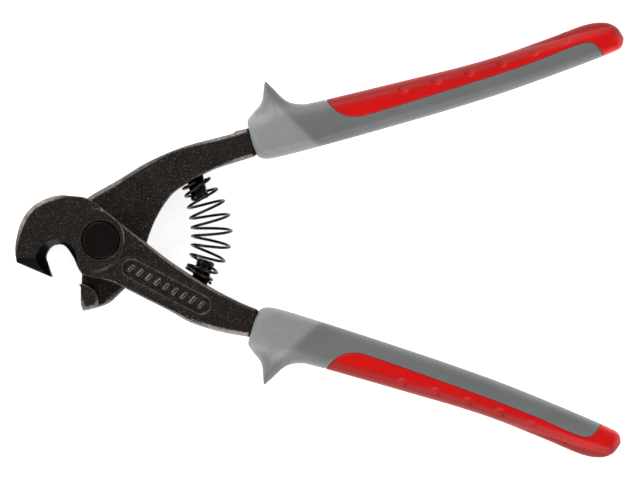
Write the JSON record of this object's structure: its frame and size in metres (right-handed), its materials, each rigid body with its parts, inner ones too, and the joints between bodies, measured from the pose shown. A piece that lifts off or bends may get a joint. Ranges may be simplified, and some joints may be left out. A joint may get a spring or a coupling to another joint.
{
  "type": "grozing pliers",
  "caption": "Sprung lap-joint nippers with a hooked parrot-beak jaw, a short anvil jaw, a barrel return spring on two studs and two-part grips with finger guards.",
  "frame": {"origin": "on the pivot rivet's axis, at the flat back of the head", "axes": "+Z out of the front face along the rivet's axis; +X from the pivot toward the handles, along the tool; +Y toward the upper handle"},
  "size_m": [0.2079, 0.1488, 0.0172],
  "materials": {
    "forging": "drop-forged steel, blackened, fine pitted scale, worn on the edges",
    "rivet_steel": "smooth blackened steel, satin",
    "stud_steel": "turned steel, blackened, satin",
    "spring_wire": "drawn spring wire, blackened, semi-gloss",
    "grip_core": "moulded grey plastic, matte with a soft sheen",
    "grip_cushion": "moulded red elastomer, matte"
  },
  "bodies": {
    "front_arm": {"front_half": "forging", "pivot_rivet": "rivet_steel", "lower_spring_stud": "stud_steel", "return_spring": "spring_wire", "lower_grip_core": "grip_core", "lower_grip_cushion": "grip_cushion"},
    "rear_arm": {"rear_half": "forging", "upper_spring_stud": "stud_steel", "upper_grip_core": "grip_core", "upper_grip_cushion": "grip_cushion"}
  },
  "joints": [
    {"name": "pivot", "type": "hinge", "parent": "front_arm", "child": "rear_arm", "pos_m": [0, 0, 0.007], "axis": [0, 0, 1], "range_deg": [-32, 4], "stiffness_Nm_per_rad": 1.5, "deforming": ["return_spring"]}
  ]
}
